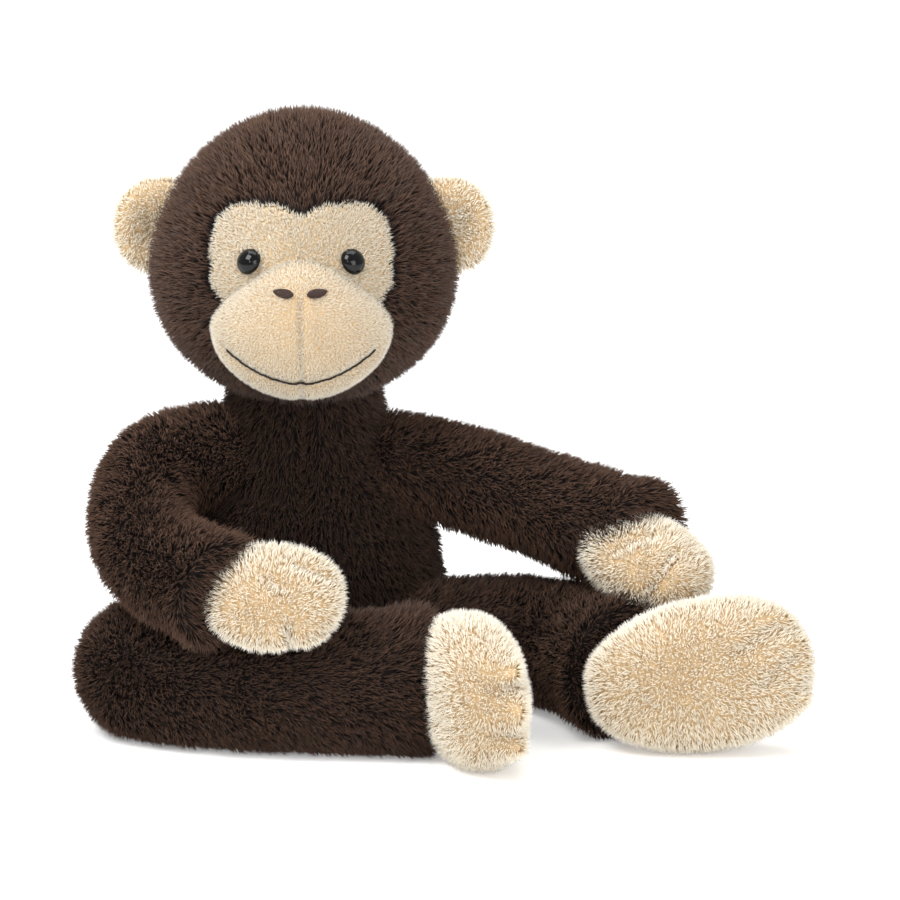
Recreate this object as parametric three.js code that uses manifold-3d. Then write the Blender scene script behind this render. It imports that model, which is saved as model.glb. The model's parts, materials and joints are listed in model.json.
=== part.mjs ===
// A plush monkey that sits on its seat, with long floppy arms and legs.
// Millimetres, +Z up. The monkey looks along -Y, so its right side is at -X.
// The origin is on the flat underside of the seat, where the toy meets the floor.
//
// Every stuffed member is a sewn plush skin round a wad of filling. A member starts with a round root
// that sits in a cup in the member before it, and that is where the sewn joint bends.
import * as THREE from "three";
import { mergeVertices } from "three/addons/utils/BufferGeometryUtils.js";
import Module from "manifold-3d";

const wasm = await Module();
wasm.setup();

// ---------- sizes that are set by themselves ----------
const SKIN = 2.2; // plush backing and the dense foot of its pile
const SEAM_GAP = 0.35; // between two sewn pieces
const FILL_GAP = 0.6; // between a skin and the filling in it
const JOINT_GAP = 0.3; // round a root in its cup
const RIM_BACK = 4; // how far a cuff stops short of the next root's centre

const TORSO = {
  back: 8, // the trunk's axis lies this far behind the origin
  depth: 0.76, // its front-to-back size as a share of its width
  height: 116,
  seatRadius: 41,
  hipRadius: 54,
  waistRadius: 51,
  chestRadius: 41,
  neckRadius: 30,
};
const NECK = { ball: 26, pivotRise: 13, back: 5, collar: 27, collarHeight: 1.6 };
const HEAD = { halfWidth: 58.5, halfDepth: 55, halfHeight: 56, forward: 9, rise: 55, pear: 0.09 };
const FACE = { halfWidth: 34, above: 29, dip: 4.5, below: 34, cheek: 12 };
const MUZZLE = { halfWidth: 34.5, halfDepth: 31, halfHeight: 29, drop: 19, forward: 42 };
const EYE = { radius: 5, spread: 19.5, above: 6, shank: 1.5, shankLength: 11 };
const WASHER = { radius: 6, thickness: 1.4 };
const NOSTRIL = { halfWidth: 3.2, halfHeight: 1.9, spread: 6.4, above: 17, slope: 0.16 };
const MOUTH = { halfWidth: 28, sag: 16, above: -15.5, thread: 0.9 };
const EAR = { reach: 15.5, halfHeight: 16.5, halfThickness: 4.8, back: 2, above: 12, flap: 25 };
const ARM = { root: 18, neck: 15, belly: 18, bend: 18, cuff: 18.5 };
const LEG = { root: 23.5, neck: 19.5, belly: 22.5, bend: 23, cuff: 25 };
const HAND = { halfLength: 23.5, halfWidth: 18.5, halfThickness: 11.5, fullness: 0.84 };
const FOOT = { halfLength: 41.5, halfWidth: 27, halfThickness: 15.5, fullness: 0.8 };
HAND.root = ARM.cuff - SKIN - SEAM_GAP; // a hand's or foot's root fills the cuff that it is sewn into
FOOT.root = LEG.cuff - SKIN - SEAM_GAP;
const POUCH = { radius: 30, height: 18 };
const BACK_SEAM = { length: 46, width: 1.6, base: 34 };
const SHOULDER = TORSO.height - 15; // the height of the right arm's root

// Places of the limbs in the sitting pose: root, a point on the way, bend, a point on the way, cuff.
const LIMBS = {
  right_arm: {
    sizes: ARM,
    route: [[-37, -2, SHOULDER], [-58, -18, SHOULDER - 3], [-65, -45, 86], [-56, -73, 74], [-33, -97, 68]],
    names: ["upper_arm", "forearm"],
  },
  left_arm: {
    sizes: ARM,
    route: [[38, 2, SHOULDER - 3], [60, -3, SHOULDER - 7], [85, -10, 87], [108, -16, 80], [127, -21, 73]],
    names: ["upper_arm", "forearm"],
  },
  right_leg: {
    sizes: LEG,
    route: [[-38, -24, 25], [-60, -36, 25.5], [-66, -61, 26], [-34, -80, 26.5], [46, -84, 27]],
    names: ["thigh", "shin"],
  },
  left_leg: {
    sizes: LEG,
    route: [[43, -11, 25], [68, -8, 25.5], [94, -10, 26], [114, -30, 26.5], [129, -60, 27]],
    names: ["thigh", "shin"],
  },
};
// Each hand and foot: its centre, the way its fingers or toes point, and the way its palm or sole faces.
const ENDS = {
  right_hand: { limb: "right_arm", centre: [-12, -103, 67], along: [1, -0.25, -0.07], faces: [0.1, -0.7, 0.7] },
  left_hand: { limb: "left_arm", centre: [139, -41, 66], along: [0.7, -0.62, -0.35], faces: [0.15, -0.45, 0.88] },
  right_foot: { limb: "right_leg", centre: [67, -99, 28], along: [0.2, -1, 0], faces: [1, 0.2, 0] },
  left_foot: { limb: "left_leg", centre: [158, -85, 28], along: [1, -0.03, 0.06], faces: [0, -1, 0.05] },
};

const AROUND = 12; // sides of a limb's section

// ---------- materials ----------
const finish = (color, roughness) => new THREE.MeshStandardMaterial({ color, roughness, metalness: 0 });
const MATERIALS = {
  brown: finish("#3d2c26", 0.95),
  cream: finish("#e6d6b4", 0.95),
  eye: finish("#0b0b0c", 0.15),
  thread: finish("#33221c", 0.7),
  filling: finish("#f3f1ea", 0.95),
  pellets: finish("#d9d4c4", 0.8),
  washer: finish("#e9e9e6", 0.5),
};

// ---------- solids ----------
// A closed three.js geometry as a manifold-3d solid, with its faces turned out.
function solidOf(geometry) {
  const bare = geometry.index ? geometry.toNonIndexed() : geometry.clone();
  for (const name of Object.keys(bare.attributes)) if (name !== "position") bare.deleteAttribute(name);
  const merged = mergeVertices(bare, 1e-3);
  const corners = [...merged.index.array];
  const kept = [];
  for (let i = 0; i < corners.length; i += 3) {
    const [a, b, c] = corners.slice(i, i + 3);
    if (a !== b && b !== c && a !== c) kept.push(a, b, c);
  }
  const made = (order) =>
    new wasm.Manifold(
      new wasm.Mesh({
        numProp: 3,
        vertProperties: merged.attributes.position.array,
        triVerts: new Uint32Array(order),
      }),
    );
  const solid = made(kept);
  if (solid.volume() > 0) return solid;
  const turnedOut = [];
  for (let i = 0; i < kept.length; i += 3) turnedOut.push(kept[i], kept[i + 2], kept[i + 1]);
  return made(turnedOut);
}

// The largest body of a cut, so that a sliver never stays in a node.
const mainBody = (solid) => solid.decompose().sort((a, b) => b.volume() - a.volume())[0];

const vector = (a) => new THREE.Vector3(...a);

function ellipsoid(halfX, halfY, halfZ, centre, around = 20, up = 12) {
  const ball = new THREE.SphereGeometry(1, around, up).rotateX(Math.PI / 2);
  return solidOf(ball.scale(halfX, halfY, halfZ).translate(centre.x, centre.y, centre.z));
}

const sphere = (radius, centre, around, up) => ellipsoid(radius, radius, radius, centre, around, up);

// The hollow that a round root turns in: its flats stay a joint's gap clear of the root.
function cupFor(root, centre, around = 14, up = 10) {
  const flatness = Math.cos(Math.PI / around) * Math.cos(Math.PI / up / 2);
  return sphere((root + JOINT_GAP) / flatness, centre, around, up);
}

// A profile of [height, radius] pairs turned about +Z.
function turned(profile, around) {
  const points = profile.map(([height, radius]) => new THREE.Vector2(Math.max(radius, 0), height));
  return new THREE.LatheGeometry(points, around).rotateX(Math.PI / 2);
}

// A cylinder along +Z from `low` to `high`.
function rod(radius, low, high, around = 16) {
  const geometry = new THREE.CylinderGeometry(radius, radius, high - low, around).rotateX(Math.PI / 2);
  return geometry.translate(0, 0, (low + high) / 2);
}

// The matrix that puts local +Z along `axis` and local +X near `aside`, at `at`.
function frameAt(at, axis, aside) {
  const z = axis.clone().normalize();
  const x = aside.clone().addScaledVector(z, -aside.dot(z)).normalize();
  return new THREE.Matrix4().makeBasis(x, z.clone().cross(x), z).setPosition(at);
}

// Bends a geometry that stands on +Z along a curve: its height becomes the way along the curve.
function bendAlong(geometry, curve, aside) {
  const length = curve.getLength();
  const places = geometry.attributes.position;
  const point = new THREE.Vector3();
  for (let i = 0; i < places.count; i += 1) {
    point.fromBufferAttribute(places, i);
    const way = THREE.MathUtils.clamp(point.z / length, 0, 1);
    const centre = curve.getPointAt(way);
    const tangent = curve.getTangentAt(way);
    centre.addScaledVector(tangent, point.z - way * length);
    point.set(point.x, point.y, 0).applyMatrix4(frameAt(centre, tangent, aside));
    places.setXYZ(i, point.x, point.y, point.z);
  }
  return geometry;
}

// ---------- the trunk ----------
const torsoAxis = new THREE.Vector3(0, TORSO.back, 0);

// The trunk's outline, `inset` mm inside the skin's outer face. `open` carries it up past the neck.
function trunk(inset, open = 0) {
  const t = TORSO;
  const profile = [
    [inset, 0],
    [inset, t.seatRadius - inset],
    [0.06 * t.height + inset / 2, t.seatRadius + 9 - inset],
    [0.2 * t.height, t.hipRadius - 0.6 - inset],
    [0.38 * t.height, t.hipRadius - inset],
    [0.58 * t.height, t.waistRadius - inset],
    [0.76 * t.height, t.chestRadius + 3 - inset],
    [0.89 * t.height, t.neckRadius + 7 - inset],
    [t.height, t.neckRadius - inset],
  ];
  if (open) profile.push([t.height + open, t.neckRadius - inset]);
  profile.push([t.height + open, 0]);
  const geometry = turned(profile, 16).scale(1, t.depth, 1);
  return solidOf(geometry.translate(torsoAxis.x, torsoAxis.y, 0));
}

const neckPivot = new THREE.Vector3(0, NECK.back, TORSO.height + NECK.pivotRise);
const headCentre = new THREE.Vector3(0, neckPivot.y - HEAD.forward, neckPivot.z + HEAD.rise);

const torsoCups = Object.values(LIMBS).map((limb) => cupFor(limb.sizes.root, vector(limb.route[0]), 12, 8));
const withCups = (solid) => torsoCups.reduce((left, cup) => left.subtract(cup), solid);

// The bag of pellets in the seat, or the pocket for it, which is open below.
const pouchBase = SKIN + FILL_GAP;
function pouchSolid(grown) {
  const p = POUCH;
  const profile = [
    [pouchBase - 2 * grown, 0],
    [pouchBase - 2 * grown, p.radius * 0.8 + grown],
    [pouchBase + p.height / 2, p.radius + grown],
    [pouchBase + p.height + grown, p.radius * 0.6 + grown],
    [pouchBase + p.height + grown, 0],
  ];
  const geometry = turned(profile, 14).scale(0.8, 0.62, 1);
  return solidOf(geometry.translate(0, torsoAxis.y + 8, 0));
}

// The ladder stitch that closes the back: a thin rib that follows the trunk's back, just outside it.
function backSeam() {
  const grown = SEAM_GAP + BACK_SEAM.width;
  const outline = new THREE.BoxGeometry(BACK_SEAM.width, 80, BACK_SEAM.length);
  outline.translate(0, torsoAxis.y + 45, BACK_SEAM.base + BACK_SEAM.length / 2);
  return mainBody(trunk(-grown).subtract(trunk(-SEAM_GAP)).intersect(solidOf(outline)));
}

// ---------- neck and head ----------
// The neck: a collar on the trunk and a ball that the head turns on, `inset` mm inside its outer face.
function neckSolid(inset) {
  const foot = TORSO.height + SEAM_GAP;
  const rim = foot + NECK.collarHeight;
  const ball = NECK.ball - inset;
  const profile = [
    [foot + inset, 0],
    [foot + inset, NECK.collar - 2 * inset],
    [rim + inset / 2, NECK.collar - 2 * inset],
  ];
  const from = Math.asin((rim + 1.5 - neckPivot.z) / NECK.ball);
  const steps = 5;
  for (let i = 0; i <= steps; i += 1) {
    const angle = from + ((Math.PI / 2 - from) * i) / steps;
    profile.push([neckPivot.z + ball * Math.sin(angle), ball * Math.cos(angle)]);
  }
  return solidOf(turned(profile, 16).translate(neckPivot.x, neckPivot.y, 0));
}

// How much wider the head is at a height above its centre than an ellipsoid would be.
const pearShare = (above) => 1 - (HEAD.pear * above) / HEAD.halfHeight;

// The head's pear shape, grown (or, below zero, shrunk) by some millimetres.
function skull(grown) {
  const ball = new THREE.SphereGeometry(1, 18, 12).rotateX(Math.PI / 2);
  ball.scale(HEAD.halfWidth + grown, HEAD.halfDepth + grown, HEAD.halfHeight + grown);
  const places = ball.attributes.position;
  for (let i = 0; i < places.count; i += 1) {
    const share = pearShare(places.getZ(i));
    places.setXY(i, places.getX(i) * share, places.getY(i) * share);
  }
  return solidOf(ball.translate(headCentre.x, headCentre.y, headCentre.z));
}

// The point of the head's front that lies at x and z from its centre.
function onHead(x, z) {
  const share = pearShare(z);
  const rest = 1 - (x / (HEAD.halfWidth * share)) ** 2 - (z / HEAD.halfHeight) ** 2;
  return new THREE.Vector3(x, -HEAD.halfDepth * share * Math.sqrt(rest), z).add(headCentre);
}

// The outline of the face panel, seen from the front: two brows with a dip between them.
function faceOutline(grown) {
  const w = FACE.halfWidth + grown;
  const top = FACE.above + grown;
  const shape = new THREE.Shape();
  shape.moveTo(0, top - FACE.dip * 2);
  shape.bezierCurveTo(w * 0.2, top + 2, w * 0.55, top + 3, w * 0.86, top - 12);
  shape.bezierCurveTo(w * 1.06, top - 22, w * 1.04, -4, w * 0.8, -FACE.cheek);
  shape.bezierCurveTo(w * 0.6, -FACE.below, -w * 0.6, -FACE.below, -w * 0.8, -FACE.cheek);
  shape.bezierCurveTo(-w * 1.04, -4, -w * 1.06, top - 22, -w * 0.86, top - 12);
  shape.bezierCurveTo(-w * 0.55, top + 3, -w * 0.2, top + 2, 0, top - FACE.dip * 2);
  return shape;
}

// A flat outline in front of the head as a prism that points along Y, from the head's middle to far in front.
function frontPrism(shape, centreZ, curveSegments = 6) {
  const geometry = new THREE.ExtrudeGeometry(shape, { depth: 120, bevelEnabled: false, curveSegments });
  return solidOf(geometry.rotateX(Math.PI / 2).translate(0, headCentre.y, centreZ));
}

const muzzleCentre = new THREE.Vector3(0, headCentre.y - MUZZLE.forward, headCentre.z - MUZZLE.drop);
const snout = (grown) =>
  ellipsoid(
    MUZZLE.halfWidth + grown,
    MUZZLE.halfDepth + grown,
    MUZZLE.halfHeight + grown,
    muzzleCentre,
    16,
    10,
  );

// Where an eye sits: a point of the head's front, and the way out of the head there.
function eyeSeat(side) {
  const x = side * EYE.spread;
  const at = onHead(x, EYE.above);
  const aside = onHead(x + 1, EYE.above).sub(at);
  const above = onHead(x, EYE.above + 1).sub(at);
  return { at, out: aside.cross(above).normalize() };
}

const UP = new THREE.Vector3(0, 0, 1);
const onEye = (side, geometry) => {
  const { at, out } = eyeSeat(side);
  return solidOf(geometry.applyMatrix4(frameAt(at, out, UP)));
};

// A domed button of plastic with a shank that goes through the face into the head.
function eyeSolid(side) {
  const dome = new THREE.SphereGeometry(EYE.radius, 14, 8).scale(1, 1, 0.8).translate(0, 0, 2.2);
  const button = onEye(side, dome).subtract(skull(SEAM_GAP));
  return mainBody(button.add(onEye(side, rod(EYE.shank, -EYE.shankLength, 1.5, 8))));
}

// The space an eye needs in the snout beside it.
const eyeRoom = (side) => {
  const room = new THREE.SphereGeometry(EYE.radius + SEAM_GAP, 14, 8).scale(1, 1, 0.8).translate(0, 0, 2.2);
  return onEye(side, room);
};

const washerDepth = -(SKIN + SEAM_GAP + 1.3);
const washerSolid = (side) =>
  onEye(side, rod(WASHER.radius, washerDepth - WASHER.thickness, washerDepth, 12)).subtract(
    onEye(side, rod(EYE.shank + 0.4, -EYE.shankLength * 2, 5, 8)),
  );
const shankHole = (side) => onEye(side, rod(EYE.shank + 0.4, -EYE.shankLength * 2, 12, 8));
const washerPocket = (side) => onEye(side, rod(WASHER.radius + 0.6, -EYE.shankLength - 0.6, 6, 12));

// The ear's flap, cut back so that it clears the head however far it folds.
function earSolid(side) {
  const seat = earSeat(side);
  let flap = ellipsoid(EAR.reach, EAR.halfThickness, EAR.halfHeight, seat, 14, 10);
  const turns = [-1, 0, 1].map((share) => (share * EAR.flap * Math.PI) / 180);
  for (const turn of turns) {
    const about = new THREE.Matrix4().makeTranslation(seat.x, seat.y, 0);
    about.multiply(new THREE.Matrix4().makeRotationZ(turn));
    about.multiply(new THREE.Matrix4().makeTranslation(-seat.x, -seat.y, 0));
    flap = flap.subtract(skull(JOINT_GAP).transform(about.toArray()));
  }
  return mainBody(flap);
}

// The middle of the seam that joins an ear to the head.
function earSeat(side) {
  const share = pearShare(EAR.above);
  const rest = 1 - (EAR.back / (HEAD.halfDepth * share)) ** 2 - (EAR.above / HEAD.halfHeight) ** 2;
  const x = side * HEAD.halfWidth * share * Math.sqrt(rest);
  return new THREE.Vector3(x, EAR.back, EAR.above).add(headCentre);
}

// The mouth's line of stitches, as a band that follows the snout.
function mouthOutline() {
  const { halfWidth: w, sag, thread } = MOUTH;
  const shape = new THREE.Shape();
  shape.moveTo(-w, sag / 2);
  shape.quadraticCurveTo(0, -sag, w, sag / 2);
  shape.lineTo(w - thread / 3, sag / 2 + thread);
  shape.quadraticCurveTo(0, -sag + thread, -w + thread / 3, sag / 2 + thread);
  return shape;
}

function nostrilOutline(side) {
  const shape = new THREE.Shape();
  const lean = side * NOSTRIL.slope;
  shape.absellipse(side * NOSTRIL.spread, 0, NOSTRIL.halfWidth, NOSTRIL.halfHeight, 0, 2 * Math.PI, false, lean);
  return shape;
}

// Stitching that lies on the snout: a band of it, one gap outside the snout's skin.
function stitching(shape, above) {
  const band = snout(SEAM_GAP + MOUTH.thread).subtract(snout(SEAM_GAP));
  const inFront = frontPrism(shape, muzzleCentre.z + above, 5);
  return mainBody(band.intersect(inFront).subtract(skull(SEAM_GAP)));
}

// ---------- limbs ----------
const curveOf = (route) => new THREE.CatmullRomCurve3(route.map(vector), false, "centripetal");

// One half of a limb's centre line, as its own curve. Both halves share the bend's point and tangent.
function halfOf(route, which) {
  const whole = curveOf(route);
  const [from, to] = which === 0 ? [0, 0.5] : [0.5, 1];
  const points = [];
  for (let i = 0; i <= 8; i += 1) points.push(whole.getPoint(from + ((to - from) * i) / 8));
  return new THREE.CatmullRomCurve3(points, false, "centripetal");
}

// A stuffed tube, `inset` mm inside its outer face, with a round root at the curve's start.
// The filling stops short of the next root. A skin goes on from there, to `stop` mm before the curve's end.
function stuffedTube(segment, inset, stop) {
  const { curve, sizes, last, nextRoot } = segment;
  const length = curve.getLength();
  const root = sizes.root - inset;
  const away = Math.PI - Math.asin(sizes.neck / sizes.root);
  const profile = [];
  const steps = 4;
  for (let i = 0; i <= steps; i += 1) {
    const angle = (away * i) / steps;
    profile.push([-root * Math.cos(angle), root * Math.sin(angle)]);
  }
  const full = length - nextRoot - 2;
  profile.push([full * 0.62, sizes.belly - inset]);
  profile.push([full, (sizes.belly + last) / 2 - inset]);
  if (stop !== undefined) profile.push([length - stop, last - inset]);
  profile.push([profile.at(-1)[0], 0]);
  return solidOf(bendAlong(turned(profile, AROUND), curve, UP));
}

// ---------- hands and feet ----------
const endSizes = (name) => (name.endsWith("hand") ? HAND : FOOT);

// Fills a unit ball out towards its corners, as stuffing does: a fullness of 1 leaves it a ball.
function plump(ball, fullness) {
  const places = ball.attributes.position;
  for (let i = 0; i < places.count; i += 1) {
    const out = [places.getX(i), places.getY(i), places.getZ(i)];
    places.setXYZ(i, ...out.map((share) => Math.sign(share) * Math.abs(share) ** fullness));
  }
  return ball;
}

// A stuffed mitt or foot: a plump pad that points `along`, flat towards `faces`, with a round root.
function endSolid(name, inset) {
  const end = ENDS[name];
  const size = endSizes(name);
  const along = vector(end.along).normalize();
  const wrist = curveOf(LIMBS[end.limb].route).getPoint(1);
  const pad = plump(new THREE.SphereGeometry(1, 12, 8).rotateX(Math.PI / 2), size.fullness);
  pad.scale(size.halfWidth - inset, size.halfThickness - inset, size.halfLength - inset);
  const across = vector(end.faces).cross(along);
  const padSolid = solidOf(pad.applyMatrix4(frameAt(vector(end.centre), along, across)));
  const root = sphere(size.root - inset, wrist, 12, 8);
  return padSolid.add(root);
}

// ---------- the assembly ----------
// A group for each body that moves by itself, placed at its pivot.
const toy = new THREE.Group();
const bodies = {};
function body(name, parent, pivot) {
  const group = new THREE.Group();
  const from = parent ? bodies[parent].userData.pivot : new THREE.Vector3();
  group.userData.pivot = pivot.clone();
  group.position.copy(pivot).sub(from);
  (parent ? bodies[parent] : toy).add(group);
  bodies[name] = group;
}

// Adds a solid, given in the toy's frame, to a body as a named mesh.
function add(bodyName, name, solid, material) {
  const made = solid.getMesh();
  const places = new Float32Array(made.numVert * 3);
  const pivot = bodies[bodyName].userData.pivot;
  for (let i = 0; i < made.numVert; i += 1) {
    const at = made.vertProperties.subarray(i * made.numProp, i * made.numProp + 3);
    places.set([at[0] - pivot.x, at[1] - pivot.y, at[2] - pivot.z], i * 3);
  }
  const geometry = new THREE.BufferGeometry().setAttribute("position", new THREE.BufferAttribute(places, 3));
  geometry.setIndex(new THREE.BufferAttribute(new Uint32Array(made.triVerts), 1));
  geometry.computeVertexNormals();
  const mesh = new THREE.Mesh(geometry, MATERIALS[material]);
  mesh.name = name;
  bodies[bodyName].add(mesh);
}

function addTrunk() {
  body("torso", null, new THREE.Vector3());
  add("torso", "torso_skin", mainBody(withCups(trunk(0)).subtract(trunk(SKIN, 9))), "brown");
  const inner = withCups(trunk(SKIN + FILL_GAP)).subtract(pouchSolid(FILL_GAP));
  add("torso", "torso_filling", mainBody(inner), "filling");
  add("torso", "pellet_pouch", pouchSolid(0), "pellets");
  add("torso", "back_closing_seam", backSeam(), "thread");
}

function addNeck() {
  body("neck", "torso", neckPivot);
  const hole = rod(NECK.collar - 3 * SKIN, 0, neckPivot.z, 14).translate(neckPivot.x, neckPivot.y, 0);
  const cavity = neckSolid(SKIN).add(solidOf(hole));
  add("neck", "neck_skin", mainBody(neckSolid(0).subtract(cavity)), "brown");
  add("neck", "neck_filling", neckSolid(SKIN + FILL_GAP), "filling");
}

function addHead() {
  body("head", "neck", neckPivot);
  const cup = cupFor(NECK.ball, neckPivot);
  const shell = skull(0).subtract(skull(-SKIN)).subtract(cup);
  const opening = frontPrism(faceOutline(SEAM_GAP), headCentre.z);
  add("head", "head_skin", mainBody(shell.subtract(opening)), "brown");
  const panel = frontPrism(faceOutline(0), headCentre.z);
  const behindMuzzle = frontPrism(muzzleOutline(-6), muzzleCentre.z);
  const holes = [behindMuzzle, shankHole(1), shankHole(-1)];
  const facePanel = holes.reduce((left, hole) => left.subtract(hole), shell.intersect(panel));
  add("head", "face_panel", mainBody(facePanel), "cream");
  const wad = skull(-SKIN - FILL_GAP).subtract(cup);
  add("head", "head_filling", mainBody(wad.subtract(washerPocket(1)).subtract(washerPocket(-1))), "filling");
  addMuzzle();
  addFaceSide("right", -1);
  addFaceSide("left", 1);
  add("head", "mouth_stitching", stitching(mouthOutline(), MOUTH.above), "thread");
}

// An eye, its washer, a nostril and an ear, on one side of the head.
function addFaceSide(name, side) {
  add("head", `${name}_eye`, eyeSolid(side), "eye");
  add("head", `${name}_eye_washer`, washerSolid(side), "washer");
  add("head", `${name}_nostril`, stitching(nostrilOutline(side), NOSTRIL.above), "thread");
  body(`${name}_ear`, "head", earSeat(side));
  add(`${name}_ear`, `${name}_ear_flap`, earSolid(side), "cream");
}

// The snout's outline from the front, grown by some millimetres.
function muzzleOutline(grown) {
  const shape = new THREE.Shape();
  shape.absellipse(0, 0, MUZZLE.halfWidth + grown, MUZZLE.halfHeight + grown, 0, 2 * Math.PI, false, 0);
  return shape;
}

function addMuzzle() {
  const dome = snout(0).subtract(skull(SEAM_GAP)).subtract(eyeRoom(1)).subtract(eyeRoom(-1));
  add("head", "muzzle_skin", mainBody(dome.subtract(snout(-SKIN))), "cream");
  const wad = snout(-SKIN - FILL_GAP).subtract(skull(SEAM_GAP + 0.3));
  add("head", "muzzle_filling", mainBody(wad), "filling");
}

function addLimb(limbName) {
  const { sizes, route, names } = LIMBS[limbName];
  const side = limbName.split("_")[0];
  const endName = `${side}_${limbName.endsWith("arm") ? "hand" : "foot"}`;
  const endRoot = endSizes(endName).root;
  const first = { curve: halfOf(route, 0), sizes, last: sizes.bend, nextRoot: sizes.root };
  const second = { curve: halfOf(route, 1), sizes, last: sizes.cuff, nextRoot: endRoot };
  const [firstName, secondName] = names.map((name) => `${side}_${name}`);
  body(firstName, "torso", first.curve.getPoint(0));
  addSegment(firstName, first, stuffedTube(second, -SEAM_GAP, RIM_BACK));
  body(secondName, firstName, second.curve.getPoint(0));
  addSegment(secondName, second, endSolid(endName, -SEAM_GAP));
  body(endName, secondName, second.curve.getPoint(1));
  const skin = endSolid(endName, 0).subtract(endSolid(endName, SKIN)).subtract(fillingHole(endName));
  add(endName, `${endName}_skin`, mainBody(skin), "cream");
  add(endName, `${endName}_filling`, endSolid(endName, SKIN + FILL_GAP), "pellets");
}

// The skin and filling of a limb's segment, kept clear of the member that is pressed against it.
function addSegment(name, segment, pressed) {
  const cup = cupFor(segment.nextRoot, segment.curve.getPoint(1));
  const hollow = stuffedTube(segment, SKIN, RIM_BACK - 2).add(cup);
  const skin = stuffedTube(segment, 0, RIM_BACK).subtract(hollow);
  add(name, `${name}_skin`, mainBody(skin.subtract(pressed)), "brown");
  const wad = stuffedTube(segment, SKIN + FILL_GAP).subtract(pressed).subtract(cup);
  add(name, `${name}_filling`, mainBody(wad), "filling");
}

// The opening at a hand's or foot's root through which it is filled.
function fillingHole(name) {
  const route = curveOf(LIMBS[ENDS[name].limb].route);
  const back = route.getTangentAt(1).negate();
  return solidOf(rod(6, 0, endSizes(name).root * 1.5, 8).applyMatrix4(frameAt(route.getPoint(1), back, UP)));
}

addTrunk();
addNeck();
addHead();
Object.keys(LIMBS).forEach(addLimb);

export default toy;
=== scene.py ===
# %% [markdown]
# # A plush monkey
# This is a small stuffed monkey that sits on its seat with its arms and legs lying loosely round it.
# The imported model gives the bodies, the joints and the size. Here each sewn member gets its stuffed
# shape and its pile: about three hundred thousand separate hairs, laid by one Geometry Nodes tree.

import json
import math

import bmesh
import bpy
import numpy as np
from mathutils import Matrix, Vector
from mathutils.bvhtree import BVHTree


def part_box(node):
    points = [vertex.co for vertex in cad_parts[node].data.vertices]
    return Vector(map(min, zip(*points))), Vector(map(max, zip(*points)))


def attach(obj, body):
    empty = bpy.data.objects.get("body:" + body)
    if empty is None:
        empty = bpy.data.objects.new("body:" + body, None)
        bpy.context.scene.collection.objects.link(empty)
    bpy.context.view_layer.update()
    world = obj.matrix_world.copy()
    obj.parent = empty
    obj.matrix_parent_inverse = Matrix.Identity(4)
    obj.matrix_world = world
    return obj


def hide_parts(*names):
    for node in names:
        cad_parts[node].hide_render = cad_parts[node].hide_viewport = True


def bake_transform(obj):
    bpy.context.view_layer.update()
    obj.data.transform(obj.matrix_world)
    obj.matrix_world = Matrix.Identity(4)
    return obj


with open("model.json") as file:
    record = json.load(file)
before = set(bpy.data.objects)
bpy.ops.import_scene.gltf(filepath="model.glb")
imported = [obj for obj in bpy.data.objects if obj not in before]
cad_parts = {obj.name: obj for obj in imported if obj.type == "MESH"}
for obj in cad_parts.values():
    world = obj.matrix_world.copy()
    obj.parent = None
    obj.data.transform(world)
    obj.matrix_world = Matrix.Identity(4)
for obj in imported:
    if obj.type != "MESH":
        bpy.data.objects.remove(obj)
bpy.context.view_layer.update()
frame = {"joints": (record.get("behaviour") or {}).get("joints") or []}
joint_at = {j["name"]: np.array(j["pos_m"]) for j in frame["joints"]}

# %% [markdown]
# ## Camera, floor and light
# A toy is shown from slightly above, from far enough away that its feet don't look large. It sits on a
# wide sheet of white paper that fills the picture. The light is a large soft box above and to the left, a
# weaker one on the right, one on top, and a bright, even surround. Two small windows glint in the eyes.

# %% Camera
VIEW_ELEVATION = math.radians(12)
VIEW_DISTANCE = 3.0
VIEW_WIDTH = 0.360
AIM = Vector((0.0588, -0.03, 0.1098))

camera_data = bpy.data.cameras.new("camera")
camera_data.sensor_width = 36
camera_data.lens = 36 * VIEW_DISTANCE / VIEW_WIDTH
camera = bpy.data.objects.new("camera", camera_data)
bpy.context.scene.collection.objects.link(camera)
backwards = Vector((0, -math.cos(VIEW_ELEVATION), math.sin(VIEW_ELEVATION)))
camera.location = AIM + backwards * VIEW_DISTANCE
camera.rotation_euler = (-backwards).to_track_quat("-Z", "Y").to_euler()
bpy.context.scene.camera = camera
bpy.context.scene.view_settings.view_transform = "Standard"
print("camera", round(camera_data.lens), "mm at", [round(v, 3) for v in camera.location])


# %% Colours and a function that adds a shader node
def linear(hex_colour):
    """An sRGB hex colour as linear red, green, blue and alpha."""
    parts = [int(hex_colour[i : i + 2], 16) / 255 for i in (1, 3, 5)]
    return [v / 12.92 if v <= 0.04045 else ((v + 0.055) / 1.055) ** 2.4 for v in parts] + [1.0]


def add_node(tree, kind, settings=None, **links):
    """A node of a tree with its settings. A link is a socket's name and an output, or a plain value."""
    node = tree.nodes.new(kind)
    for name, value in (settings or {}).items():
        setattr(node, name, value)
    for name, value in links.items():
        key = int(name[1:]) if name[0] == "i" and name[1:].isdigit() else name.replace("_", " ")
        socket = node.inputs[key]
        if isinstance(value, bpy.types.NodeSocket):
            tree.links.new(value, socket)
        else:
            socket.default_value = value
    return node


def new_material(name):
    """An empty node material, its tree and its output."""
    material = bpy.data.materials.new(name)
    material.use_nodes = True
    material.node_tree.nodes.clear()
    return material, material.node_tree


def finish_material(tree, shader):
    add_node(tree, "ShaderNodeOutputMaterial", Surface=shader.outputs[0])


# %% Paper floor and the lights
def new_object(name, mesh):
    made = bpy.data.objects.new(name, mesh)
    bpy.context.scene.collection.objects.link(made)
    return made


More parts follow.
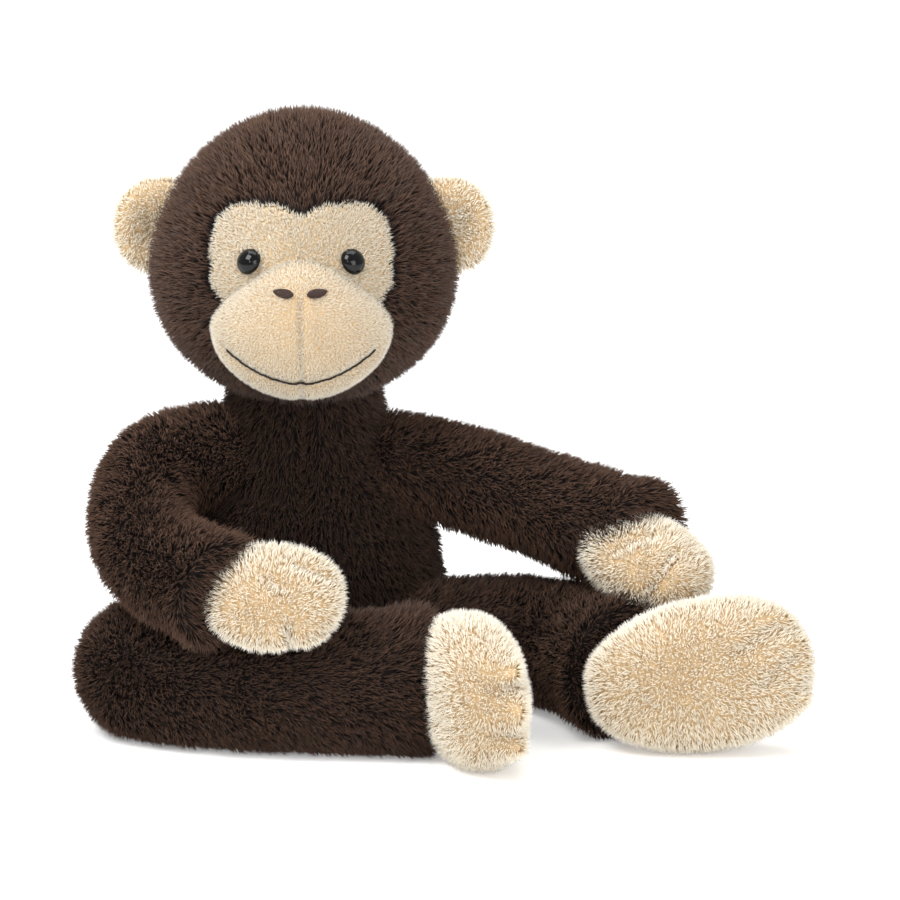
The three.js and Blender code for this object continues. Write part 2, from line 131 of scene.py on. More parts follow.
def paper_floor(half=9.0, cuts=12):
    """A wide sheet of white paper that the toy sits on."""
    side = np.linspace(-half, half, cuts + 1)
    points = [(x, y, 0) for y in side for x in side]
    row = cuts + 1
    faces = [
        (i + j * row, i + 1 + j * row, i + 1 + (j + 1) * row, i + (j + 1) * row)
        for j in range(cuts)
        for i in range(cuts)
    ]
    mesh = bpy.data.meshes.new("paper_floor")
    mesh.from_pydata(points, [], faces)
    return new_object("paper_floor", mesh)


def paper_material():
    """White paper that is lit from beneath as well, so that it stays white far away."""
    material, tree = new_material("white_background_paper")
    shader = add_node(tree, "ShaderNodeBsdfPrincipled", Base_Color=linear("#fbfbfa"), Roughness=0.85)
    shader.inputs["Emission Color"].default_value = linear("#ffffff")
    shader.inputs["Emission Strength"].default_value = 0.3
    finish_material(tree, shader)
    return material


def soft_box(name, at, size, power):
    lamp = bpy.data.lights.new(name, "AREA")
    lamp.shape = "RECTANGLE"
    lamp.size, lamp.size_y = size
    lamp.energy = power
    placed = new_object(name, lamp)
    placed.location = at
    placed.rotation_euler = (Vector((0.05, -0.03, 0.1)) - Vector(at)).to_track_quat("-Z", "Y").to_euler()


floor = paper_floor()
floor.data.materials.append(paper_material())
soft_box("soft_box_left", (-0.9, -0.9, 1.7), (1.1, 1.1), 36)
soft_box("soft_box_right", (1.0, -1.6, 0.6), (1.0, 1.0), 13)
soft_box("soft_box_top", (0.1, 0.3, 1.7), (1.5, 1.0), 15)
soft_box("window_left", (-0.55, -1.5, 0.85), (0.16, 0.22), 1.6)
soft_box("window_right", (0.35, -1.6, 0.75), (0.1, 0.16), 0.7)
world = bpy.data.worlds.new("bright_surround")
world.use_nodes = True
world.node_tree.nodes["Background"].inputs["Color"].default_value = linear("#ffffff")
world.node_tree.nodes["Background"].inputs["Strength"].default_value = 0.62
bpy.context.scene.world = world
print("floor and lights are in place")

# %% [markdown]
# ## Stuffed shapes
# Every member is a sewn bag that is filled until it is round. The limbs are tubes, so their meshes are
# swept along the line from root to cuff. The head, the snout, the hands and the feet are more like
# balls, so theirs start as a cube whose faces are cut into a grid and pushed out onto a ball: its faces
# are all about the same size, and it has no poles where hair would bunch.

# %% Points, rings and balls
MM = 0.001
SMOOTH = lambda t: t * t * (3 - 2 * t)  # a soft step from 0 to 1


def points_of(mesh):
    flat = np.zeros(len(mesh.vertices) * 3)
    mesh.vertices.foreach_get("co", flat)
    return flat.reshape(-1, 3)


def set_points(mesh, points):
    mesh.vertices.foreach_set("co", np.asarray(points, np.float32).ravel())
    mesh.update()


def normals_of(mesh):
    flat = np.zeros(len(mesh.vertices) * 3)
    mesh.vertices.foreach_get("normal", flat)
    return flat.reshape(-1, 3)


def unit(v):
    v = np.asarray(v, float)
    return v / np.maximum(np.linalg.norm(v, axis=-1, keepdims=True), 1e-12)


def between(value, low, high):
    """0 below `low`, 1 above `high`, and a soft step between them."""
    return SMOOTH(np.clip((value - low) / (high - low), 0, 1))


def centre_line(route, count):
    """Points evenly spaced on a centripetal Catmull-Rom curve through the route, in metres."""
    p = np.array(route, float)
    p = np.vstack([2 * p[0] - p[1], p, 2 * p[-1] - p[-2]])
    steps = np.sqrt(np.linalg.norm(np.diff(p, axis=0), axis=1))
    made = []
    for i in range(1, len(p) - 2):
        t = np.concatenate([[0], np.cumsum(steps[i - 1 : i + 2])])
        for u in np.linspace(t[1], t[2], 40, endpoint=False):
            a = [((t[k + 1] - u) * p[i - 1 + k] + (u - t[k]) * p[i + k]) / (t[k + 1] - t[k]) for k in range(3)]
            b = [((t[k + 2] - u) * a[k] + (u - t[k]) * a[k + 1]) / (t[k + 2] - t[k]) for k in range(2)]
            made.append(((t[2] - u) * b[0] + (u - t[1]) * b[1]) / (t[2] - t[1]))
    made.append(p[-2])
    made = np.array(made)
    way = np.concatenate([[0], np.cumsum(np.linalg.norm(np.diff(made, axis=0), axis=1))])
    even = np.linspace(0, way[-1], count)
    return np.stack([np.interp(even, way, made[:, k]) for k in range(3)], 1)


def ringed_mesh(name, rings, low_pole, high_pole):
    """A closed mesh of rings of equal count, with a point at each end."""
    count = len(rings[0])
    points = [low_pole] + [q for ring in rings for q in ring] + [high_pole]
    faces = [(0, 1 + (k + 1) % count, 1 + k) for k in range(count)]
    for i in range(len(rings) - 1):
        a, b = 1 + i * count, 1 + (i + 1) * count
        faces += [(a + k, a + (k + 1) % count, b + (k + 1) % count, b + k) for k in range(count)]
    last, top = 1 + (len(rings) - 1) * count, len(points) - 1
    faces += [(last + k, last + (k + 1) % count, top) for k in range(count)]
    mesh = bpy.data.meshes.new(name)
    mesh.from_pydata([tuple(q) for q in points], [], faces)
    mesh.shade_smooth()
    return mesh


def grid_ball(name, cuts):
    """A unit ball made of a cube's faces, cut into a grid and pushed out."""
    shape = bmesh.new()
    bmesh.ops.create_cube(shape, size=2)
    bmesh.ops.subdivide_edges(shape, edges=shape.edges, cuts=cuts, use_grid_fill=True)
    for v in shape.verts:
        x, y, z = v.co
        v.co = (
            x * math.sqrt(1 - y * y / 2 - z * z / 2 + y * y * z * z / 3),
            y * math.sqrt(1 - z * z / 2 - x * x / 2 + z * z * x * x / 3),
            z * math.sqrt(1 - x * x / 2 - y * y / 2 + x * x * y * y / 3),
        )
    mesh = bpy.data.meshes.new(name)
    shape.to_mesh(mesh)
    shape.free()
    mesh.shade_smooth()
    return mesh


# %% [markdown]
# ## Cloth under pressure
# A real skin is flat plush that the filling pushes out until its seams hold it. Blender's cloth solver
# does the same with pressure. Here each mesh is already cut close to its final shape, so the solver only
# rounds it off: by under 2 mm on the trunk and under 1 mm on the other members. No point may move
# further than a cap, and the printed line says how far the furthest one went.

# %% Swell a skin with the cloth solver
def swell(skin, pressure=4.0, most=3.0 * MM, frames=16):
    """Blows a skin up like a filled bag. A point moves at most `most`."""
    before = points_of(skin.data)
    cloth = skin.modifiers.new("filling_pressure", "CLOTH")
    cloth.settings.quality = 4
    cloth.settings.mass = 0.2
    cloth.settings.tension_stiffness = 12
    cloth.settings.compression_stiffness = 8
    cloth.settings.shear_stiffness = 4
    cloth.settings.bending_stiffness = 0.4
    cloth.settings.use_pressure = True
    cloth.settings.uniform_pressure_force = pressure
    cloth.settings.effector_weights.gravity = 0
    cloth.collision_settings.use_collision = False
    cloth.point_cache.frame_start, cloth.point_cache.frame_end = 1, frames
    scene = bpy.context.scene
    for number in range(1, frames + 1):
        scene.frame_set(number)
    swollen = points_of(skin.evaluated_get(bpy.context.evaluated_depsgraph_get()).data)
    skin.modifiers.remove(cloth)
    scene.frame_set(1)
    moved = swollen - before
    length = np.linalg.norm(moved, axis=1, keepdims=True)
    set_points(skin.data, before + moved * np.minimum(1, most / np.maximum(length, 1e-9)))
    print(f"{skin.name}: swelled by up to {length.max() * 1000:.1f} mm")


def give(mesh, name, values):
    """Stores numbers (or vectors) on a mesh's points under a name."""
    values = np.asarray(values, np.float32)
    kind, field = ("FLOAT_VECTOR", "vector") if values.ndim == 2 else ("FLOAT", "value")
    attribute = mesh.attributes.get(name) or mesh.attributes.new(name, kind, "POINT")
    attribute.data.foreach_set(field, values.ravel())


def read(mesh, name):
    attribute = mesh.attributes[name]
    vector = attribute.data_type == "FLOAT_VECTOR"
    flat = np.zeros(len(attribute.data) * (3 if vector else 1), np.float32)
    attribute.data.foreach_get("vector" if vector else "value", flat)
    return flat.reshape(-1, 3) if vector else flat


# %% [markdown]
# ## The trunk
# The trunk is a pear-shaped bag with a flat seat. Its front is sewn from two panels, so a shallow groove
# runs down the middle, and the back has the seam that closes the toy. Its top runs up under the chin as a
# short thick neck.

# %% Trunk
TRUNK_AXIS_Y = 8 * MM
TRUNK_PROFILE = [  # height and half width, in millimetres
    (0, 40), (3, 46), (9, 50.5), (22, 54), (42, 54), (62, 51.5), (82, 46), (98, 39.5), (112, 32), (126, 28), (140, 26)
]
trunk_heights = np.concatenate([np.linspace(0, 12, 6, endpoint=False), np.linspace(12, 140, 42)]) * MM
around = np.linspace(0, 2 * math.pi, 84, endpoint=False)


def trunk_ring(height):
    table = np.array(TRUNK_PROFILE) * MM
    half = np.interp(height, table[:, 0], table[:, 1])
    depth = half * (0.76 + 0.14 * between(height, 0.09, 0.13))
    x = half * np.cos(around)
    y = TRUNK_AXIS_Y * (1 - 0.4 * between(height, 0.1, 0.14)) + depth * np.sin(around)
    return np.stack([x, y, np.full_like(x, height)], 1)


rings = [trunk_ring(h) for h in trunk_heights]
trunk = new_object(
    "trunk_backing", ringed_mesh("trunk_backing", rings, (0, TRUNK_AXIS_Y, 0), (0, TRUNK_AXIS_Y * 0.6, 0.14))
)
swell(trunk, most=2.0 * MM)


def press_seam(mesh, offset_x, side_y, depth, width):
    """Presses a groove down the front (side_y -1) or the back (side_y +1) along x = offset_x."""
    p, n = points_of(mesh), normals_of(mesh)
    near = np.exp(-(((p[:, 0] - offset_x) / width) ** 2)) * (n[:, 1] * side_y > 0.2)
    set_points(mesh, p - n * (near * depth)[:, None])


press_seam(trunk.data, 0, -1, 3.4 * MM, 3.2 * MM)
press_seam(trunk.data, 0, 1, 1.6 * MM, 2.5 * MM)
p = points_of(trunk.data)
p[:, 2] = np.maximum(p[:, 2], 0.3 * MM)
set_points(trunk.data, p)
give(trunk.data, "comb", unit(np.array([0, 0, -1]) + 0 * p) * 0.75)
print("trunk", len(p), "points")

# %% [markdown]
# ## Arms and legs
# Each limb is one tube of plush from its root to its cuff, so one mesh crosses the elbow or the knee and
# bends there. The tube is a little waisted near the bend, fuller in the middle of each half, and its cuff
# flares over the hand or foot.

# %% Limbs
LIMBS = {  # way points between the joints, and radii from root to cuff, in millimetres
    "right_arm": {
        "joints": ("right_shoulder", "right_elbow", "right_wrist"),
        "between": ((-57, -18, 99.5), (-56, -73, 74)),
        "radii": (19, 18, 17.5, 17.2, 18.6, 19.2, 20),
        "bodies": ("right_upper_arm", "right_forearm"),
    },
    "left_arm": {
        "joints": ("left_shoulder", "left_elbow", "left_wrist"),
        "between": ((60, -3, 94), (108, -16, 80)),
        "beyond": ((132.5, -25.5, 71.8),),
        "radii": (17.5, 17.5, 18, 18, 18.8, 20, 22.5),
        "bodies": ("left_upper_arm", "left_forearm"),
    },
    "right_leg": {
        "joints": ("right_hip", "right_knee", "right_ankle"),
        "between": ((-60, -36, 25.5), (-34, -80, 26.5)),
        "radii": (22, 21.5, 19.5, 19.5, 22, 25, 26.5),
        "tall": (1, 1.06, 1.2, 1.2, 1.1, 1.02, 1),
        "bodies": ("right_thigh", "right_shin"),
    },
    "left_leg": {
        "joints": ("left_hip", "left_knee", "left_ankle"),
        "between": ((68, -8, 25.5), (114, -30, 26.5)),
        "radii": (22, 23.5, 23.5, 22.8, 23.8, 25, 26),
        "bodies": ("left_thigh", "left_shin"),
    },
}
RINGS_ALONG, SIDES = 64, 44


def limb_mesh(name, limb):
    first, middle, last = (joint_at[j] for j in limb["joints"])
    route = [first, np.array(limb["between"][0]) * MM, middle, np.array(limb["between"][1]) * MM, last]
    route += [np.array(point) * MM for point in limb.get("beyond", ())]  # a cuff that reaches over the hand
    line = centre_line(route, RINGS_ALONG)
    tangent = unit(np.gradient(line, axis=0))
    side = unit(np.cross((0, 0, 1), tangent))
    up = np.cross(tangent, side)
    share = np.linspace(0, 1, RINGS_ALONG)
    radius = np.interp(share, np.linspace(0, 1, len(limb["radii"])), limb["radii"]) * MM
    tall = np.interp(share, np.linspace(0, 1, 7), limb.get("tall", np.ones(7)))[:, None]
    up = up * tall
    length = np.linalg.norm(np.diff(line, axis=0), axis=1).sum()
    root_share = radius[0] / length
    turn = np.linspace(0, 2 * math.pi, SIDES, endpoint=False)
    rings, combs, ways = [], [], []
    for angle in (0.35, 0.7, 1.05, 1.3):  # the round root behind the first point
        r, back = radius[0] * math.sin(angle), radius[0] * math.cos(angle)
        rings.append(
            line[0] - tangent[0] * back
            + r * (np.outer(np.cos(turn), side[0]) + np.outer(np.sin(turn), up[0]))
        )
        combs.append(tangent[0])
        ways.append(-root_share * math.cos(angle))
    for i in range(RINGS_ALONG):
        rings.append(line[i] + radius[i] * (np.outer(np.cos(turn), side[i]) + np.outer(np.sin(turn), up[i])))
        combs.append(tangent[i])
        ways.append(share[i])
    for back, shrink in ((2.5, 0.99), (5.0, 0.93), (6.5, 0.75)):  # the cuff turns in
        rings.append(
            line[-1] + tangent[-1] * back * MM * 0.5
            + radius[-1] * shrink * (np.outer(np.cos(turn), side[-1]) + np.outer(np.sin(turn), up[-1]))
        )
        combs.append(tangent[-1])
        ways.append(1.0)
    mesh = ringed_mesh(name, rings, line[0] - tangent[0] * radius[0], line[-1] + tangent[-1] * 1 * MM)
    comb = [combs[0]] + [c for c in combs for _ in range(SIDES)] + [combs[-1]]
    way = [ways[0]] + [w for w in ways for _ in range(SIDES)] + [1.0]
    give(mesh, "comb", np.array(comb) * 0.8)
    give(mesh, "way", way)
    return mesh, line


limbs, limb_lines = {}, {}
for name, limb in LIMBS.items():
    mesh, limb_lines[name] = limb_mesh(name + "_backing", limb)
    limbs[name] = new_object(name + "_backing", mesh)
    swell(limbs[name], most=1.6 * MM)
    p = points_of(mesh)
    p[:, 2] = np.maximum(p[:, 2], 0.4 * MM)
    set_points(mesh, p)
    print(name, len(p), "points")

# %% [markdown]
# ## The head
# The head is a ball that is a little wider at the cheeks than at the crown. The backing is one closed
# shape. The cream face is a panel let into it, with two arches over the eyes and a peak of brown hair
# between them, and the hair on each side of that outline has its own colour and length.

# %% Head
HEAD_CENTRE = np.array([0, -4, 184]) * MM
HEAD_HALF = np.array([57, 54, 55]) * MM
PEAR = 0.09


def head_points(ball):
    share = 1 - PEAR * ball[:, 2]
    shaped = ball * HEAD_HALF
    shaped[:, 0] *= share
    shaped[:, 1] *= share
    return shaped + HEAD_CENTRE


head = new_object("head_backing", grid_ball("head_backing", 56))
set_points(head.data, head_points(points_of(head.data)))


def face_inside(points):
    """How far inside the face panel's outline a point lies, seen from the front, in metres."""
    x, z = np.abs(points[:, 0] - HEAD_CENTRE[0]), points[:, 2] - HEAD_CENTRE[2]
    lobe = 28.6 * MM - 0.62 * MM * ((x - 17 * MM) / (6 * MM)) ** 2
    under_brow = lobe - z
    rounded = np.hypot(np.maximum(x - 20 * MM, 0), np.maximum(z - 12 * MM, 0) * 0.95)
    beside = 15.0 * MM - 16 * MM * between(-z, 2 * MM, 22 * MM) - rounded
    inside = np.minimum(under_brow, beside)
    return np.where(points[:, 1] < HEAD_CENTRE[1], inside, -1.0)


p = points_of(head.data)
out = p - HEAD_CENTRE
away = np.stack([out[:, 0] * 0.9, 0.9 * np.abs(out[:, 1]) + 0.02, 0.9 * (out[:, 2] + 0.004)], 1)
give(head.data, "comb", unit(away) * 0.7)
print("head", len(p), "points")

# %% [markdown]
# ## The snout
# The snout is sewn from a left and a right half, so a groove runs from under the nose to the chin. It is
# narrow between the eyes, widest at the mouth, and under the line of the mouth a lip stands out.

# %% Snout
SNOUT_CENTRE = np.array([0, -46, 165]) * MM
SNOUT_HALF = np.array([35, 31, 29]) * MM
snout = new_object("snout_backing", grid_ball("snout_backing", 44))
b = points_of(snout.data)
narrow = 1 - 0.32 * between(b[:, 2], -0.1, 1.0) - 0.05 * between(-b[:, 2], 0.2, 1.0)
shaped = b * SNOUT_HALF
shaped[:, 0] *= narrow
shaped[:, 1] *= 1 - 0.14 * between(b[:, 2], 0.0, 1.0)
set_points(snout.data, shaped + SNOUT_CENTRE)


def mouth_height(x):
    """The height of the mouth's line across the snout, in metres."""
    return SNOUT_CENTRE[2] + (-19.8 + 12.2 * (np.abs(x) / (29 * MM)) ** 1.9) * MM


p, n = points_of(snout.data), normals_of(snout.data)
in_front = between(-(p[:, 1] - SNOUT_CENTRE[1]), 2 * MM, 12 * MM)
below_nose = between(-(p[:, 2] - SNOUT_CENTRE[2]), -19 * MM, -13 * MM)
groove = np.exp(-((p[:, 0] / (1.8 * MM)) ** 2)) * in_front * below_nose
line_gap = p[:, 2] - mouth_height(p[:, 0])
mouth = np.exp(-((line_gap / (1.6 * MM)) ** 2)) * in_front * (np.abs(p[:, 0]) < 30 * MM)
lip = np.exp(-(((line_gap + 5 * MM) / (4 * MM)) ** 2)) * in_front
set_points(snout.data, p + n * (-1.6 * MM * groove - 1.5 * MM * mouth + 1.2 * MM * lip)[:, None])
p = points_of(snout.data)
nose = SNOUT_CENTRE + np.array([0, -27, 17]) * MM
give(snout.data, "comb", unit(p - nose) * 0.55)
print("snout", len(p), "points")

# %% [markdown]
# ## Ears, hands and feet
# These are small bags of cream plush. Each starts as a grid ball that is flattened, filled out towards
# its corners and then pressed where stitches pull it in: between the fingers, between the toes and in the
# hollow of the ear.


# %% Shapes of the small members
def placed(points, centre, along, faces):
    """Puts points with length on x, width on y and thickness on z where a member lies."""
    x = unit(along)
    z = unit(np.array(faces) - x * np.dot(faces, x))
    y = np.cross(z, x)
    return points @ np.stack([x, y, z]) + np.array(centre) * MM


def plump(ball, power):
    return np.sign(ball) * np.abs(ball) ** power


ENDS = {  # centre in millimetres, the way the fingers or toes point, and the way the palm or sole faces
    "right_hand": ((-11, -103.5, 66.5), (1, -0.22, -0.05), (0.1, -0.72, 0.68)),
    "left_hand": ((137, -41, 66.5), (0.75, -0.6, -0.35), (0.15, -0.45, 0.88)),
    "right_foot": ((66.5, -99, 28.5), (0.24, -1, 0.0), (1, 0.24, 0.05)),
    "left_foot": ((157, -85.5, 30.5), (1, -0.03, 0.19), (0.02, -1, 0.12)),
}
HALF = {"hand": np.array([26.5, 20, 12]) * MM, "foot": np.array([42, 27.5, 17]) * MM}
CREASES = {  # lines on the palm or sole as shares of its half length and half width, and their depth
    "right_hand": [((0.35, 0.36), (0.8, 0.25), 3), ((-0.05, 0.02), (0.2, -0.2), 1.8), ((0.38, -0.85), (0.44, -1.1), 5)],
    "left_hand": [
        ((-0.25, 0.4), (0.05, 0.05), 1.8),
        ((0.05, 0.05), (-0.15, -0.7), 2.6),
        ((0.5, 0.0), (0.62, -0.9), 3),
    ],
    "right_foot": [((0.35, -0.3), (0.6, -0.3), 1), ((0.35, 0.25), (0.6, 0.25), 1)],
    "left_foot": [((0.42, 0.34), (0.82, 0.55), 1.9), ((0.58, -0.2), (0.88, 0.06), 1.9)],
}
TOES = {"right_foot": (-0.52, -0.03, 0.46), "left_foot": (-0.5, 0.05, 0.55)}
# A low power gives a member full corners, and 1 leaves it a plain oval.
FULLNESS = {"right_hand": 0.86, "left_hand": 0.86, "right_foot": 0.8, "left_foot": 0.74}
TOE_COMB = 0.45  # how strongly the pile parts on a toe
TOE_HEIGHT = {"right_foot": 7.0 * MM, "left_foot": 2.5 * MM}


def distance_from_line(points, start, end):
    """The distance of each point of a plane from the line between two points."""
    a, line = np.array(start), np.array(end) - np.array(start)
    along = np.clip(((points - a) @ line) / (line @ line), 0, 1)
    return np.linalg.norm(points - a - along[:, None] * line, axis=1)


def end_points(name, ball):
    half = HALF[name.split("_")[1]]
    q = plump(ball, FULLNESS[name]) * half
    if name in TOES:
        q[:, 1] *= 0.8 + 0.2 * between(ball[:, 0], -0.9, 0.15)
        for toe in TOES[name]:
            near = np.exp(-(((ball[:, 1] - toe) / 0.17) ** 2) - ((ball[:, 2] - 0.25) / 0.3) ** 2)
            q[:, 0] += TOE_HEIGHT[name] * near * between(ball[:, 0], 0.3, 0.8)
            q[:, 2] += TOE_HEIGHT[name] * 0.4 * near * between(ball[:, 0], 0.3, 0.8)
    else:
        q[:, 1] *= 1 - 0.10 * between(-ball[:, 0], 0.0, 1.0)
    flat = q[:, :2] / half[:2]
    for start, end, depth in CREASES[name]:
        press = np.exp(-((distance_from_line(flat, start, end) / 0.11) ** 2)) * depth * MM
        inward = np.where(ball[:, 2] > -0.15, 1.0, 0.35)
        q[:, 2] -= np.sign(ball[:, 2]) * press * inward * np.minimum(1, np.abs(ball[:, 2]) * 2.5)
        rim = between(np.linalg.norm(flat, axis=1), 0.8, 1.05) * press
        q[:, :2] -= unit(q[:, :2]) * rim[:, None]
    return q


ends = {}
for name, (centre, along, faces) in ENDS.items():
    made = new_object(name + "_backing", grid_ball(name + "_backing", 36))
    ball = points_of(made.data)
    set_points(made.data, placed(end_points(name, ball), centre, along, faces))
    swell(made, most=0.8 * MM, frames=10)
    p = points_of(made.data)
    p[:, 2] = np.maximum(p[:, 2], 0.5 * MM)
    set_points(made.data, p)
    away = unit(p - np.array(centre) * MM)
    comb = unit(0.5 * unit(along) + away) * 0.6
    for toe in TOES.get(name, ()):  # the pile on a toe lies away from the toe's middle
        beside = np.stack([0 * ball[:, 0], ball[:, 1] - toe, ball[:, 2] - 0.25], 1)
        near = np.exp(-((beside[:, 1] / 0.2) ** 2) - (beside[:, 2] / 0.32) ** 2) * between(ball[:, 0], 0.3, 0.8)
        comb += placed(unit(beside), (0, 0, 0), along, faces) * near[:, None] * TOE_COMB
    give(made.data, "comb", comb)
    ends[name] = made
    print(name, len(p), "points")

EAR_HALF = np.array([17, 5.2, 18]) * MM


def ear_points(ball, side):
    q = plump(ball, 0.92) * EAR_HALF
    out = ball[:, 0] * side
    dish = np.exp(-(((out - 0.15) / 0.4) ** 2) - ((ball[:, 2] / 0.42) ** 2))
    q[:, 1] += np.where(ball[:, 1] < 0, 5.0 * MM * dish, 0)
    q[:, 1] -= 2.0 * MM * between(out, 0.3, 1.0)
    return q


ears = {}
for name, side in (("right_ear", -1), ("left_ear", 1)):
    made = new_object(name + "_backing", grid_ball(name + "_backing", 18))
    seat = joint_at[name + "_fold"]
    ball = points_of(made.data)
    set_points(made.data, ear_points(ball, side) + seat + np.array([side * 1.5, 0, 0]) * MM)
    p = points_of(made.data)
    give(made.data, "comb", unit(p - seat) * 0.7)
    ears[name] = made
    print(name, len(p), "points")

# %% [markdown]
# ## Pile
# Plush is a knitted backing with a brush of polyester fibres on it. One hair here stands for a small lock
# of them. It is a closed sliver of five points and six faces, thin at its root, widest at a third and
# pointed and bent at its tip. The tree scatters points over a backing, turns a hair to each, and lets
# neighbours lean the same way, which makes the tufts that hold light and shade.


# %% One hair
def hair_mesh():
    """A closed sliver that stands on +Z, one unit long and about one unit across."""
    mesh = bpy.data.meshes.new("hair")
    turns = [0.3 + i * 2 * math.pi / 3 for i in range(3)]
    ring = [(0.5 * math.cos(a), 0.5 * math.sin(a), 0.38) for a in turns]
    mesh.from_pydata(
        [(-0.4, 0, 0), *ring, (1.3, 0.0, 1.0)],
        [],
        [(0, 2, 1), (0, 3, 2), (0, 1, 3), (1, 2, 4), (2, 3, 4), (3, 1, 4)],
    )
    give(mesh, "height", [0, 0.38, 0.38, 0.38, 1])
    give(mesh, "across", [0, -1, 0, 1, 0])
    mesh.shade_smooth()
    return mesh


hair = new_object("hair", hair_mesh())
hair.hide_render = True


